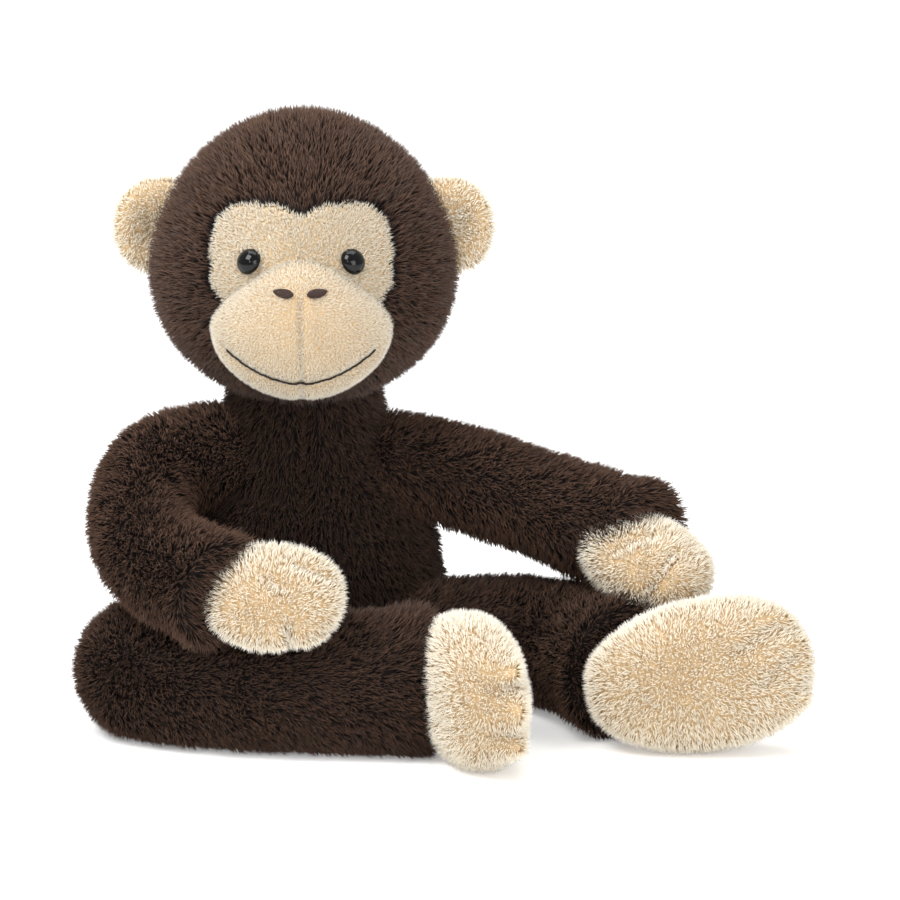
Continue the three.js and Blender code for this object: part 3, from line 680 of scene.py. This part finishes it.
# %% The Geometry Nodes tree that lays the pile
def pile_tree():
    tree = bpy.data.node_groups.new("pile", "GeometryNodeTree")
    face = tree.interface

    def socket(name, kind, default=None):
        made = face.new_socket(name=name, in_out="INPUT", socket_type=kind)
        if default is not None:
            made.default_value = default
        return made

    socket("Backing", "NodeSocketGeometry")
    socket("Hair", "NodeSocketObject")
    socket("Hairs per square metre", "NodeSocketFloat", 1.5e6)
    socket("Hair width", "NodeSocketFloat", 0.0006)
    socket("Tuft size", "NodeSocketFloat", 0.006)
    socket("Tuft lean", "NodeSocketFloat", 0.9)
    socket("Tuft pull", "NodeSocketFloat", 0.8)
    socket("Stray lean", "NodeSocketFloat", 0.25)
    socket("Tone", "NodeSocketFloat", 0.0)
    socket("Seed", "NodeSocketInt", 1)
    socket("Material", "NodeSocketMaterial")
    face.new_socket(name="Pile", in_out="OUTPUT", socket_type="NodeSocketGeometry")
    add = lambda kind, settings=None, **links: add_node(tree, kind, settings, **links)
    given = add("NodeGroupInput").outputs
    named = lambda name, kind: add("GeometryNodeInputNamedAttribute", {"data_type": kind}, Name=name).outputs[0]
    maths = lambda how, a, b: add("ShaderNodeMath", {"operation": how}, i0=a, i1=b).outputs[0]
    vectors = lambda how, a, b: add("ShaderNodeVectorMath", {"operation": how}, i0=a, i1=b).outputs[0]

    density = maths("MULTIPLY", given["Hairs per square metre"], named("thick", "FLOAT"))
    scatter = add(
        "GeometryNodeDistributePointsOnFaces",
        {"distribute_method": "RANDOM"},
        Mesh=given["Backing"],
        Density=density,
        Seed=given["Seed"],
    )
    place = add("GeometryNodeInputPosition").outputs[0]
    tuft_scale = maths("DIVIDE", 1.0, given["Tuft size"])
    wave = add("ShaderNodeTexNoise", {"noise_dimensions": "3D"}, Vector=place, Scale=maths("MULTIPLY", tuft_scale, 0.4))
    wave_way = vectors("SUBTRACT", wave.outputs["Color"], (0.5, 0.5, 0.5))
    cell = add("ShaderNodeTexVoronoi", {"voronoi_dimensions": "3D"}, Vector=place, Scale=tuft_scale)
    to_middle = vectors("SUBTRACT", cell.outputs["Position"], place)
    stray = add("FunctionNodeRandomValue", {"data_type": "FLOAT_VECTOR"}, Seed=given["Seed"])
    stray.inputs["Min"].default_value, stray.inputs["Max"].default_value = (-1, -1, -1), (1, 1, 1)
    way = vectors("ADD", scatter.outputs["Normal"], named("comb", "FLOAT_VECTOR"))
    pull = maths("DIVIDE", given["Tuft pull"], named("pile", "FLOAT"))
    for push, strength in (
        (wave_way, maths("MULTIPLY", given["Tuft lean"], 2.4)),
        (to_middle, pull),
        (stray.outputs[0], given["Stray lean"]),
    ):
        scaled = add("ShaderNodeVectorMath", {"operation": "SCALE"}, i0=push)
        tree.links.new(strength, scaled.inputs["Scale"])
        way = vectors("ADD", way, scaled.outputs[0])
    spin = add("FunctionNodeRandomValue", {"data_type": "FLOAT"}, i2=0.0, i3=6.283, Seed=maths("ADD", given["Seed"], 7))
    spun = add("FunctionNodeEulerToRotation")
    tree.links.new(add("ShaderNodeCombineXYZ", Z=spin.outputs[1]).outputs[0], spun.inputs[0])
    turned = add("FunctionNodeAlignRotationToVector", {"axis": "Z"}, Rotation=spun.outputs[0], Vector=way)
    longer_seed = maths("ADD", given["Seed"], 3)
    longer = add("FunctionNodeRandomValue", {"data_type": "FLOAT"}, i2=0.7, i3=1.15, Seed=longer_seed)
    height = maths("MULTIPLY", named("pile", "FLOAT"), longer.outputs[1])
    size = add("ShaderNodeCombineXYZ", X=given["Hair width"], Y=given["Hair width"], Z=height).outputs[0]
    hair_shape = add("GeometryNodeObjectInfo", {"transform_space": "ORIGINAL"}, Object=given["Hair"])
    grown = add(
        "GeometryNodeInstanceOnPoints",
        Points=scatter.outputs["Points"],
        Instance=hair_shape.outputs["Geometry"],
        Rotation=turned.outputs[0],
        Scale=size,
    )
    shade_seed = maths("ADD", given["Seed"], 11)
    shade = add("FunctionNodeRandomValue", {"data_type": "FLOAT"}, i2=0.0, i3=0.55, Seed=shade_seed)
    patch = add("ShaderNodeTexNoise", {"noise_dimensions": "3D"}, Vector=place, Scale=70.0, Detail=2.0)
    tone = maths("ADD", shade.outputs[1], maths("MULTIPLY", patch.outputs[0], 0.45))
    # The Tone input lifts or lowers all the hairs of a member; on the trunk and the face it is painted shade.
    tone = maths("ADD", tone, given["Tone"])
    toned = add(
        "GeometryNodeStoreNamedAttribute",
        {"data_type": "FLOAT", "domain": "INSTANCE"},
        Geometry=grown.outputs[0],
        Name="tone",
        Value=tone,
    )
    real = add("GeometryNodeRealizeInstances", Geometry=toned.outputs[0])
    u = maths("ADD", named("tone", "FLOAT"), maths("MULTIPLY", named("across", "FLOAT"), 0.004))
    uv = add("ShaderNodeCombineXYZ", X=u, Y=named("height", "FLOAT")).outputs[0]
    mapped = add(
        "GeometryNodeStoreNamedAttribute",
        {"data_type": "FLOAT2", "domain": "CORNER"},
        Geometry=real.outputs[0],
        Name="OFBake",
        Value=uv,
    )
    # The backing between the hairs takes colours from the dark end of the ramp: painted shade under the pile.
    ground = add("ShaderNodeTexNoise", {"noise_dimensions": "3D"}, Vector=place, Scale=400.0, Detail=2.0)
    painted_shade_uv = vectors("MULTIPLY", ground.outputs["Color"], (0.6, 0.2, 0.0))
    backing = add(
        "GeometryNodeStoreNamedAttribute",
        {"data_type": "FLOAT2", "domain": "CORNER"},
        Geometry=given["Backing"],
        Name="OFBake",
        Value=painted_shade_uv,
    )
    both = add("GeometryNodeJoinGeometry")
    for part in (mapped, backing):
        tree.links.new(part.outputs[0], both.inputs[0])
    painted = add("GeometryNodeSetMaterial", Geometry=both.outputs[0], Material=given["Material"])
    add("NodeGroupOutput", i0=painted.outputs[0])
    return tree


PILE = pile_tree()
PILE_INPUT = {s.name: s.identifier for s in PILE.interface.items_tree if s.in_out == "INPUT"}
print("pile tree:", len(PILE.nodes), "nodes")


# %% Plush materials
def plush(name, shaded_root, middle, lit_tip, shade_low, shade_high, roughness):
    """Polyester pile. Each hair runs from a dark foot, painted shade deep in the pile, to a pale end, painted light
    where it stands out, and each lock has its own tone.
    """
    material, tree = new_material(name)
    uv = add_node(tree, "ShaderNodeUVMap", {"uv_map": "OFBake"}).outputs[0]
    split = add_node(tree, "ShaderNodeSeparateXYZ", Vector=uv)
    ramp = add_node(tree, "ShaderNodeValToRGB", Fac=split.outputs["Y"])
    stops = ramp.color_ramp.elements
    stops[0].position, stops[0].color = 0.0, linear(shaded_root)
    stops[1].position, stops[1].color = 1.0, linear(lit_tip)
    stop = stops.new(0.45)
    stop.color = linear(middle)
    tone = add_node(tree, "ShaderNodeMapRange", Value=split.outputs["X"], To_Min=shade_low, To_Max=shade_high)
    shaded = add_node(tree, "ShaderNodeVectorMath", {"operation": "SCALE"}, i0=ramp.outputs[0])
    tree.links.new(tone.outputs[0], shaded.inputs["Scale"])
    shader = add_node(tree, "ShaderNodeBsdfPrincipled", Base_Color=shaded.outputs[0], Roughness=roughness)
    shader.inputs["Specular IOR Level"].default_value = 0.12
    shader.inputs["Sheen Weight"].default_value = 0.06
    shader.inputs["Sheen Roughness"].default_value = 0.4
    finish_material(tree, shader)
    return material


# The first colour is painted shade at the foot of each hair, and the third is painted light at its end.
BROWN_PILE = plush("brown_polyester_pile", "#0d0705", "#37251d", "#725747", 0.5, 1.5, 0.65)
CREAM_PILE = plush("cream_polyester_pile", "#d3b181", "#f0e3c9", "#fffaf1", 0.8, 1.04, 0.65)
print("plush materials are made")


# %% [markdown]
# ## Laying the pile on each member
# A backing's points carry how thick the pile is, how long it is and which way it is combed. No hair is
# laid deep inside a neighbour, where the toy is sewn together and nothing shows.


# %% Where the pile is thin
def depth_inside(points, others):
    """The greatest depth of each point inside any of the other skins, in metres (0 outside)."""
    deepest = np.zeros(len(points))
    for other in others:
        tree = BVHTree.FromPolygons(
            [tuple(q) for q in points_of(other.data)], [tuple(f.vertices) for f in other.data.polygons]
        )
        low, high = points_of(other.data).min(0), points_of(other.data).max(0)
        for i in np.nonzero(np.all((points > low) & (points < high), 1))[0]:
            near, normal, _, distance = tree.find_nearest(Vector(points[i]))
            if (Vector(points[i]) - near).dot(normal) < 0:
                deepest[i] = max(deepest[i], distance)
    return deepest


def lay_pile(
    backing, name, material, pile, thick, others, per_mm2, width, seed,
    tuft=(4.5, 0.6, 0.4), stray=0.28, tone=0.0,
):
    """Hairs for one backing as a plain mesh. `pile` and `thick` are one number for each point, or for all."""
    mesh = backing.data
    count = len(mesh.vertices)
    buried = depth_inside(points_of(mesh), others)
    thin = np.broadcast_to(thick, count) * (1 - between(buried, 1.5 * MM, 5 * MM))
    give(mesh, "thick", thin)
    give(mesh, "pile", np.broadcast_to(pile, count) * 1.0)
    modifier = backing.modifiers.new("pile", "NODES")
    modifier.node_group = PILE
    values = {
        "Hair": hair,
        "Hairs per square metre": per_mm2 * 1e6,
        "Hair width": width,
        "Tuft size": tuft[0] * MM,
        "Tuft lean": tuft[1],
        "Tuft pull": tuft[2],
        "Stray lean": stray,
        "Tone": tone,
        "Seed": seed,
        "Material": material,
    }
    for label, value in values.items():
        modifier[PILE_INPUT[label]] = value
    backing.update_tag()
    depsgraph = bpy.context.evaluated_depsgraph_get()
    made = bpy.data.meshes.new_from_object(backing.evaluated_get(depsgraph), depsgraph=depsgraph)
    backing.modifiers.remove(modifier)
    p = points_of(made)
    p[:, 2] = np.maximum(p[:, 2], 0.15 * MM)
    set_points(made, p)
    made.name = name
    made.materials.clear()
    made.materials.append(material)
    for spare in ("tone", "height", "across"):
        if spare in made.attributes:
            made.attributes.remove(made.attributes[spare])
    laid = new_object(name, made)
    print(f"{name}: {len(made.polygons) // 6} hairs")
    return laid


skins = {"trunk": trunk, "head": head, "snout": snout, **limbs, **ends, **ears}
others_of = lambda name: [o for n, o in skins.items() if n != name]

# %% [markdown]
# ## The face panel
# On the real toy the face is its own piece of cream plush, sewn into an opening of the brown head. Here
# it is cut out of the head's own skin, so it has exactly its curve, and it lies a hair's breadth proud.


# %% Cut the face panel
def cut_panel(name, source, keep, proud, thick):
    """A closed plate made of the faces of `source` whose points are all kept."""
    shape = bmesh.new()
    shape.from_mesh(source.data)
    shape.verts.ensure_lookup_table()
    bmesh.ops.delete(shape, geom=[v for v in shape.verts if not keep[v.index]], context="VERTS")
    normals = {v: v.normal.copy() for v in shape.verts}
    for v in shape.verts:
        v.co += normals[v] * proud
    outer = list(shape.faces)
    made = bmesh.ops.duplicate(shape, geom=outer + list(shape.edges) + list(shape.verts))
    twin = made["vert_map"]
    inner_faces = [f for f in made["geom"] if isinstance(f, bmesh.types.BMFace)]
    pairs = [(v, twin[v]) for v in normals]
    edges = [e for f in outer for e in f.edges if e.is_boundary]
    for v, low in pairs:
        low.co = v.co - normals[v] * thick
    bmesh.ops.reverse_faces(shape, faces=inner_faces)
    for e in edges:
        a, b = e.verts
        shape.faces.new((a, b, twin[b], twin[a]))
    bmesh.ops.recalc_face_normals(shape, faces=shape.faces)
    mesh = bpy.data.meshes.new(name)
    shape.to_mesh(mesh)
    shape.free()
    mesh.shade_smooth()
    panel = new_object(name, mesh)
    print(name, len(mesh.polygons), "faces")
    return panel


head_p = points_of(head.data)
inside = face_inside(head_p)
face = cut_panel("face_backing", head, inside > -0.5 * MM, 0.5 * MM, 1.2 * MM)
face_p, face_n = points_of(face.data), normals_of(face.data)
outward = np.sum(face_n * unit(face_p - HEAD_CENTRE), 1) > 0.5

# %% Lay it
furs = {}
PILE_LENGTH = {"trunk": 6.5, "limb": 6.2, "head": 6.0, "face": 2.6, "snout": 1.9, "pad": 4.2, "ear": 3.8}  # in mm
CUFF_PILE = 1.8  # how much longer the pile grows at a cuff, in mm
# Lifts or lowers the tone of the hairs. The trunk is painted darker as the shade under the head, and
# the face is painted darker as shade; the legs, arms and head are a little darker, the pads and ears lighter.
SHADE_AND_TONE = {
    "trunk": -0.6, "arm": -0.15, "leg": -0.35, "head": -0.15,
    "face": -0.85, "snout": -0.1, "pad": 0.15, "ear": 0.2,
}
BROWN, BROWN_WIDTH = 1.38, 0.56 * MM
CREAM, CREAM_WIDTH = 1.8, 0.45 * MM
SHORT, SHORT_WIDTH = 3.5, 0.33 * MM
under_seat = between(points_of(trunk.data)[:, 2], 0.5 * MM, 3 * MM)
furs["trunk"] = lay_pile(
    trunk, "trunk", BROWN_PILE, PILE_LENGTH["trunk"] * MM, 0.15 + 0.85 * under_seat, others_of("trunk"),
    BROWN, BROWN_WIDTH, 11, tone=SHADE_AND_TONE["trunk"],
)
for number, name in enumerate(limbs):
    way = read(limbs[name].data, "way")
    pile = (PILE_LENGTH["limb"] + CUFF_PILE * between(way, 0.88, 1.0)) * MM
    furs[name] = lay_pile(
        limbs[name], name, BROWN_PILE, pile, 1.0, others_of(name),
        BROWN, BROWN_WIDTH, 21 + number, tone=SHADE_AND_TONE[name.split("_")[1]],
    )
brown_part = 1 - between(inside, -1.2 * MM, 0.2 * MM)
furs["head"] = lay_pile(
    head, "head_of_plush", BROWN_PILE, PILE_LENGTH["head"] * MM, brown_part, others_of("head"),
    BROWN, BROWN_WIDTH, 31, tone=SHADE_AND_TONE["head"],
)
furs["face"] = lay_pile(
    face, "face", CREAM_PILE, PILE_LENGTH["face"] * MM, outward * 1.0, [snout],
    SHORT, SHORT_WIDTH, 32, (3.0, 0.4, 0.15), 0.35, SHADE_AND_TONE["face"],
)
furs["snout"] = lay_pile(
    snout, "snout", CREAM_PILE, PILE_LENGTH["snout"] * MM, 1.0, [head],
    SHORT, SHORT_WIDTH, 33, (3.0, 0.3, 0.05), 0.35, SHADE_AND_TONE["snout"],
)
for number, name in enumerate(ends):
    furs[name] = lay_pile(
        ends[name], name + "_of_plush", CREAM_PILE, PILE_LENGTH["pad"] * MM, 1.0, others_of(name),
        CREAM, CREAM_WIDTH, 41 + number, tone=SHADE_AND_TONE["pad"],
    )
for number, name in enumerate(ears):
    furs[name] = lay_pile(
        ears[name], name + "_of_plush", CREAM_PILE, PILE_LENGTH["ear"] * MM, 1.0, others_of(name),
        CREAM, CREAM_WIDTH, 51 + number, tone=SHADE_AND_TONE["ear"],
    )
snout_cloth, trunk_cloth = snout.data, trunk.data
for backing in [*skins.values(), face]:
    bpy.data.objects.remove(backing)
print("triangles in all:", sum(len(f.vertices) - 2 for o in furs.values() for f in o.data.polygons))

# %% [markdown]
# ## Eyes
# A safety eye is a domed button of black plastic with a shank. The shank goes through the face, and a
# washer is pressed on it from inside. The dome is turned from a profile, as a lathe would do it, and its
# polish gives two clear highlights.

# %% Eyes
small_pieces = []


def plastic(name, colour, roughness, ior, specular):
    """Moulded plastic. The faint ripple is what a mould's polished steel leaves."""
    material, tree = new_material(name)
    place = add_node(tree, "ShaderNodeTexCoord").outputs["Object"]
    ripple = add_node(tree, "ShaderNodeTexNoise", Vector=place, Scale=300.0, Detail=2.0)
    shade = add_node(
        tree, "ShaderNodeMapRange", Value=ripple.outputs[0], To_Min=roughness * 0.8, To_Max=roughness * 1.3
    )
    bump = add_node(tree, "ShaderNodeBump", Strength=0.05, Distance=0.0002, Height=ripple.outputs[0])
    shader = add_node(
        tree, "ShaderNodeBsdfPrincipled", Base_Color=linear(colour), Roughness=shade.outputs[0], Normal=bump.outputs[0]
    )
    shader.inputs["IOR"].default_value = ior
    shader.inputs["Specular IOR Level"].default_value = specular
    finish_material(tree, shader)
    return material


def frame_of(axis):
    """Two directions square to an axis, so that side, up and axis are right-handed."""
    side = unit(np.cross((0, 0, 1), axis))
    return side, np.cross(axis, side)


def turned_mesh(name, profile, at, axis, sides=40):
    """A profile of (distance along the axis, radius), turned about the axis. Its ends close on the axis."""
    side, up = frame_of(axis)
    turn = np.linspace(0, 2 * math.pi, sides, endpoint=False)
    circle = np.outer(np.cos(turn), side) + np.outer(np.sin(turn), up)
    rings = [at + axis * along + circle * radius for along, radius in profile[1:-1]]
    return ringed_mesh(name, rings, at + axis * profile[0][0], at + axis * profile[-1][0])


EYE_PLASTIC = plastic("black_acrylic", "#030303", 0.05, 1.49, 0.3)
middle_of = lambda node: sum((np.array(corner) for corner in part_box(node)), np.zeros(3)) / 2
eye_profile = [(-11, 0), (-11, 1.2), (-10.7, 1.5), (0.2, 1.5), (0.4, 4.5), (0.7, 5.1), (1.2, 5.4)]
eye_profile += [(1.2 + 4.3 * math.sin(a), 5.4 * math.cos(a)) for a in np.linspace(0.1, 1.5, 16)] + [(5.5, 0)]
for side in ("right", "left"):
    washer, button = middle_of(side + "_eye_washer"), middle_of(side + "_eye")
    axis = unit(button - washer)
    seat = washer + axis * 4.0 * MM + np.array([-0.9 * MM * np.sign(button[0]), 0, -0.6 * MM])
    mesh = turned_mesh(side + "_eye_button", [(a * MM, r * MM) for a, r in eye_profile], seat, axis)
    mesh.materials.append(EYE_PLASTIC)
    small_pieces.append((new_object(side + "_eye_button", mesh), "head", "eye_plastic", side + "_eye"))
    print(side, "eye at", np.round(seat * 1000, 1))
WASHER_PLASTIC = plastic("white_polypropylene", "#e9e7e0", 0.45, 1.49, 0.5)
for side in ("right", "left"):
    bpy.data.objects[side + "_eye_washer"].material_slots[0].material = WASHER_PLASTIC

# %% [markdown]
# ## Stitches
# The nose and the mouth are embroidered, and a ladder of stitches closes the back. A stitch is a short
# piece of twisted thread that dives into the plush at both ends. One tree walks along a line and lays a
# stitch at each step, along the line for the mouth, and across it for satin stitch and for the ladder.


# %% One stitch, and the tree that lays a row
def stitch_mesh():
    """A thread one unit long on X, thickest in its middle, bowed up on Z, with its ends turned in."""
    rings = []
    for x in np.linspace(-0.46, 0.46, 9):
        bow = 0.5 * (1 - (x / 0.5) ** 2)
        radius = 0.5 * math.sqrt(max(1 - (abs(x) / 0.53) ** 4, 0.05))
        turn = np.linspace(0, 2 * math.pi, 8, endpoint=False) + x * 2.5
        rings.append([(x, radius * math.cos(a), bow + radius * math.sin(a)) for a in turn])
    mesh = ringed_mesh("stitch", rings, (-0.5, 0, -0.1), (0.5, 0, -0.1))
    return mesh


def stitch_tree():
    tree = bpy.data.node_groups.new("row_of_stitches", "GeometryNodeTree")
    face = tree.interface
    for name, kind in (
        ("Line", "NodeSocketGeometry"),
        ("Stitch", "NodeSocketObject"),
        ("Step", "NodeSocketFloat"),
        ("Thread", "NodeSocketFloat"),
        ("Turn", "NodeSocketFloat"),
        ("Material", "NodeSocketMaterial"),
    ):
        face.new_socket(name=name, in_out="INPUT", socket_type=kind)
    face.new_socket(name="Row", in_out="OUTPUT", socket_type="NodeSocketGeometry")
    add = lambda kind, settings=None, **links: add_node(tree, kind, settings, **links)
    given = add("NodeGroupInput").outputs
    named = lambda name, kind: add("GeometryNodeInputNamedAttribute", {"data_type": kind}, Name=name).outputs[0]
    curve = add("GeometryNodeMeshToCurve", Mesh=given["Line"])
    steps = add("GeometryNodeCurveToPoints", {"mode": "LENGTH"}, Curve=curve.outputs[0], Length=given["Step"])
    lifted = add(
        "FunctionNodeAlignRotationToVector", {"axis": "Z", "pivot_axis": "AUTO"}, Vector=named("out", "FLOAT_VECTOR")
    )
    along = add(
        "FunctionNodeAlignRotationToVector",
        {"axis": "X", "pivot_axis": "Z"},
        Rotation=lifted.outputs[0],
        Vector=steps.outputs["Tangent"],
    )
    turn = add("FunctionNodeEulerToRotation")
    tree.links.new(add("ShaderNodeCombineXYZ", Z=given["Turn"]).outputs[0], turn.inputs[0])
    placed_way = add("FunctionNodeRotateRotation", {"rotation_space": "LOCAL"}, Rotation=along.outputs[0])
    tree.links.new(turn.outputs[0], placed_way.inputs["Rotate By"])
    size = add("ShaderNodeCombineXYZ", X=named("reach", "FLOAT"), Y=given["Thread"], Z=given["Thread"])
    shape = add("GeometryNodeObjectInfo", {"transform_space": "ORIGINAL"}, Object=given["Stitch"])
    laid = add(
        "GeometryNodeInstanceOnPoints",
        Points=steps.outputs["Points"],
        Instance=shape.outputs["Geometry"],
        Rotation=placed_way.outputs[0],
        Scale=size.outputs[0],
    )
    real = add("GeometryNodeRealizeInstances", Geometry=laid.outputs[0])
    painted = add("GeometryNodeSetMaterial", Geometry=real.outputs[0], Material=given["Material"])
    add("NodeGroupOutput", i0=painted.outputs[0])
    return tree


stitch = new_object("stitch", stitch_mesh())
stitch.hide_render = True
STITCHES = stitch_tree()
STITCH_INPUT = {i.name: i.identifier for i in STITCHES.interface.items_tree if i.in_out == "INPUT"}


def stitch_row(name, points, out, reach, step, thread, turn, material):
    """A row of stitches along points. `out` is the way out of the cloth and `reach` a stitch's length there."""
    mesh = bpy.data.meshes.new(name)
    mesh.from_pydata([tuple(q) for q in points], [(i, i + 1) for i in range(len(points) - 1)], [])
    give(mesh, "out", np.array(out))
    give(mesh, "reach", np.broadcast_to(reach, len(points)) * 1.0)
    line = new_object(name + "_line", mesh)
    modifier = line.modifiers.new("stitches", "NODES")
    modifier.node_group = STITCHES
    for label, value in {"Stitch": stitch, "Step": step, "Thread": thread, "Turn": turn, "Material": material}.items():
        modifier[STITCH_INPUT[label]] = value
    line.update_tag()
    depsgraph = bpy.context.evaluated_depsgraph_get()
    made = bpy.data.meshes.new_from_object(line.evaluated_get(depsgraph), depsgraph=depsgraph)
    for spare in ("out", "reach"):
        if spare in made.attributes:
            made.attributes.remove(made.attributes[spare])
    bpy.data.objects.remove(line)
    made.name = name
    made.materials.clear()
    made.materials.append(material)
    row = new_object(name, made)
    print(name, len(made.polygons) // 80, "stitches")
    return row


def thread_material(name, dark, light, ply):
    """Polyester thread. Fine bands are its twisted plies, and its sheen is a filament's gloss."""
    material, tree = new_material(name)
    place = add_node(tree, "ShaderNodeTexCoord").outputs["Object"]
    bands = add_node(
        tree, "ShaderNodeTexWave", {"bands_direction": "DIAGONAL"}, Vector=place, Scale=1 / ply, Distortion=1.5
    )
    ramp = add_node(tree, "ShaderNodeValToRGB", Fac=bands.outputs["Fac"])
    ramp.color_ramp.elements[0].color, ramp.color_ramp.elements[1].color = linear(dark), linear(light)
    bump = add_node(tree, "ShaderNodeBump", Strength=0.4, Distance=0.0001, Height=bands.outputs["Fac"])
    shader = add_node(
        tree, "ShaderNodeBsdfPrincipled", Base_Color=ramp.outputs[0], Roughness=0.4, Normal=bump.outputs[0]
    )
    shader.inputs["Specular IOR Level"].default_value = 0.3
    finish_material(tree, shader)
    return material


BLACK_THREAD = thread_material("black_polyester_thread", "#0d0a09", "#241d1a", 0.0009)
BROWN_THREAD = thread_material("brown_polyester_thread", "#1f110c", "#3d261d", 0.0009)


# %% Nose, mouth and back seam
class Surface:
    """A skin that lines can be dropped on."""

    def __init__(self, mesh):
        corners = [tuple(q) for q in points_of(mesh)]
        self.tree = BVHTree.FromPolygons(corners, [tuple(f.vertices) for f in mesh.polygons])

    def drop(self, points, way, lift):
        """Points moved along `way` onto the skin, then out of it by `lift`, with the way out at each."""
        found, out = [], []
        for q in points:
            hit, normal, _, _ = self.tree.ray_cast(Vector(q) - Vector(way) * 0.2, Vector(way))
            found.append(np.array(hit) + np.array(normal) * lift)
            out.append(np.array(normal))
        return np.array(found), np.array(out)


snout_surface = Surface(snout_cloth)
MOUTH_HALF = 27.5 * MM
x = np.linspace(-MOUTH_HALF, MOUTH_HALF, 61)
line, out = snout_surface.drop(np.stack([x, 0 * x, mouth_height(x)], 1), (0, 1, 0), 1.5 * MM)
mouth_row = stitch_row("mouth", line, out, 3.1 * MM, 2.3 * MM, 0.85 * MM, 0.0, BLACK_THREAD)
small_pieces.append((mouth_row, "head", "thread", "mouth_stitching"))
for side, sign in (("right", -1), ("left", 1)):
    middle = middle_of(side + "_nostril")
    t = np.linspace(-1, 1, 15)
    x = middle[0] + t * 3.5 * MM
    z = middle[2] - 1.6 * MM + sign * t * 0.5 * MM
    line, out = snout_surface.drop(np.stack([x, 0 * x, z], 1), (0, 1, 0), 1.3 * MM)
    reach = 4.3 * MM * np.sqrt(np.maximum(1.03 - t**2, 0.1)) * (1 - 0.15 * t * sign)
    row = stitch_row(side + "_nostril_satin", line, out, reach, 0.42 * MM, 0.6 * MM, math.pi / 2, BROWN_THREAD)
    small_pieces.append((row, "head", "thread", side + "_nostril"))
seam_low, seam_high = (np.array(corner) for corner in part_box("back_closing_seam"))
z = np.linspace(seam_low[2], seam_high[2], 40)
trunk_surface = Surface(trunk_cloth)
line, out = trunk_surface.drop(np.stack([0 * z, 0 * z, z], 1), (0, -1, 0), 0.6 * MM)
ladder = stitch_row("ladder_stitches", line, out, 4.5 * MM, 4.0 * MM, 0.8 * MM, math.pi / 2, BROWN_THREAD)
small_pieces.append((ladder, "torso", "thread", "back_closing_seam"))

# %% [markdown]
# ## Which body each piece moves with
# The trunk's and the limbs' pile stays where it was laid and rides on no body. The other members ride on
# their own bodies, and the parts of the model that each piece stands for are hidden.


# %% Ride, and hide the parts the plush stands for
def declare(piece, slot, fill, *stands_for):
    if stands_for:
        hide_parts(*stands_for)


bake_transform(furs["trunk"])
declare(furs["trunk"], "brown_plush", 0.8, "torso_skin", "torso_filling", "pellet_pouch", "neck_skin", "neck_filling")
for name, limb in LIMBS.items():
    line, bend = limb_lines[name], joint_at[limb["joints"][1]]
    nearest = int(np.argmin(np.linalg.norm(line - bend, axis=1)))
    way = unit(line[nearest + 1] - line[nearest - 1])
    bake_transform(furs[name])
    declare(furs[name], "brown_plush", 0.7, *[body + part for body in limb["bodies"] for part in ("_skin", "_filling")])
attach(furs["head"], "head")
declare(furs["head"], "brown_plush", 0.9, "head_skin", "head_filling")
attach(furs["face"], "head")
declare(furs["face"], "cream_plush", 0.9, "face_panel")
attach(furs["snout"], "head")
declare(furs["snout"], "cream_plush", 0.9, "muzzle_skin", "muzzle_filling")
for name in ends:
    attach(furs[name], name)
    declare(furs[name], "cream_plush", 0.7, name + "_skin", name + "_filling")
for name in ears:
    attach(furs[name], name)
    declare(furs[name], "cream_plush", 0.4, name + "_flap")
for piece, body, slot, node in small_pieces:
    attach(piece, body)
    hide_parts(node)
